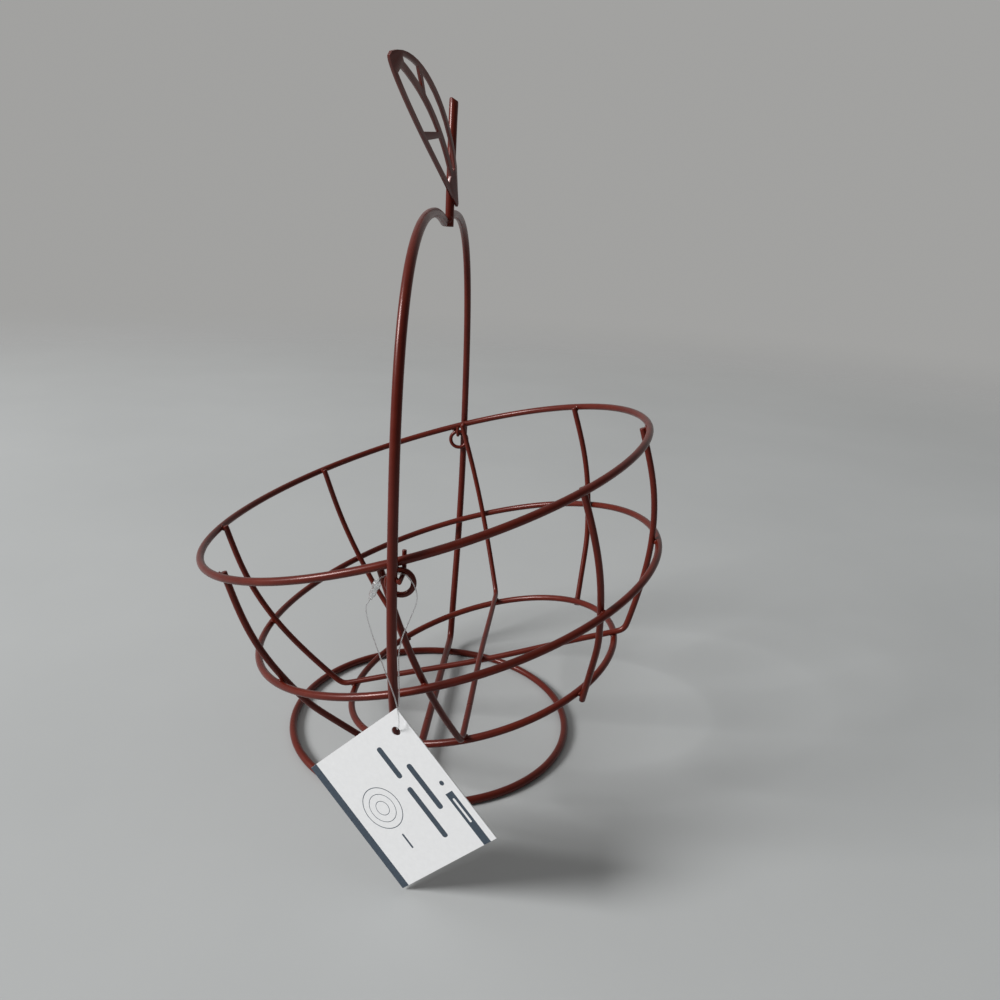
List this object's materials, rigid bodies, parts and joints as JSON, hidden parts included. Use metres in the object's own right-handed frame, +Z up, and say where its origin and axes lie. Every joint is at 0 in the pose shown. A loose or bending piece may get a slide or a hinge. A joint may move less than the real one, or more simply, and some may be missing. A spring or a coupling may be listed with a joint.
{
  "type": "hanging wire fruit basket",
  "caption": "Round open wire basket hung on two hooks inside an apple-shaped wire frame with a stem, a leaf and a ring base, with a card tag on a thread.",
  "frame": {"origin": "bottom centre of the box round the whole basket, measured without the tag's thread and clasp; it lies on the table", "axes": "+Z up along the stem, +Y away from the viewer in the plane of the apple outline, +X to the viewer's right, the way the basket swings"},
  "size_m": [0.2932, 0.3296, 0.4112],
  "materials": {
    "wire_paint": "satin copper brown",
    "card": "smooth printed card",
    "thread": "clear",
    "clasp": "clear"
  },
  "bodies": {
    "frame": {"base_ring": "wire_paint", "apple_frame_wire": "wire_paint", "stem": "wire_paint", "leaf": "wire_paint", "hook_front": "wire_paint", "hook_back": "wire_paint"},
    "basket": {"rim_ring": "wire_paint", "middle_ring": "wire_paint", "bottom_ring": "wire_paint", "cross_wire_long": "wire_paint", "cross_wire_pivot": "wire_paint", "half_rib_back_right": "wire_paint", "half_rib_back_left": "wire_paint", "half_rib_front_left": "wire_paint", "half_rib_front_right": "wire_paint", "eye_front": "wire_paint", "eye_back": "wire_paint"},
    "tag_loop": {"tag_thread": "thread", "tag_clasp": "clasp"},
    "tag": {"tag_card": "card"}
  },
  "joints": [
    {"name": "basket_swing", "type": "hinge", "parent": "frame", "child": "basket", "pos_m": [0.00114, 0.01146, 0.1718], "axis": [-0.0276, 0.9996, -0.0079], "range_deg": [-3, 59]},
    {"name": "tag_loop_swing", "type": "hinge", "parent": "frame", "child": "tag_loop", "pos_m": [0.00514, -0.13564, 0.1729], "axis": [0, 1, 0], "range_deg": [-15, 15]},
    {"name": "tag_card_tilt", "type": "hinge", "parent": "tag_loop", "child": "tag", "pos_m": [0.00584, -0.14654, 0.0969], "axis": [0.9461, -0.3239, 0], "range_deg": [-12, 12]}
  ]
}
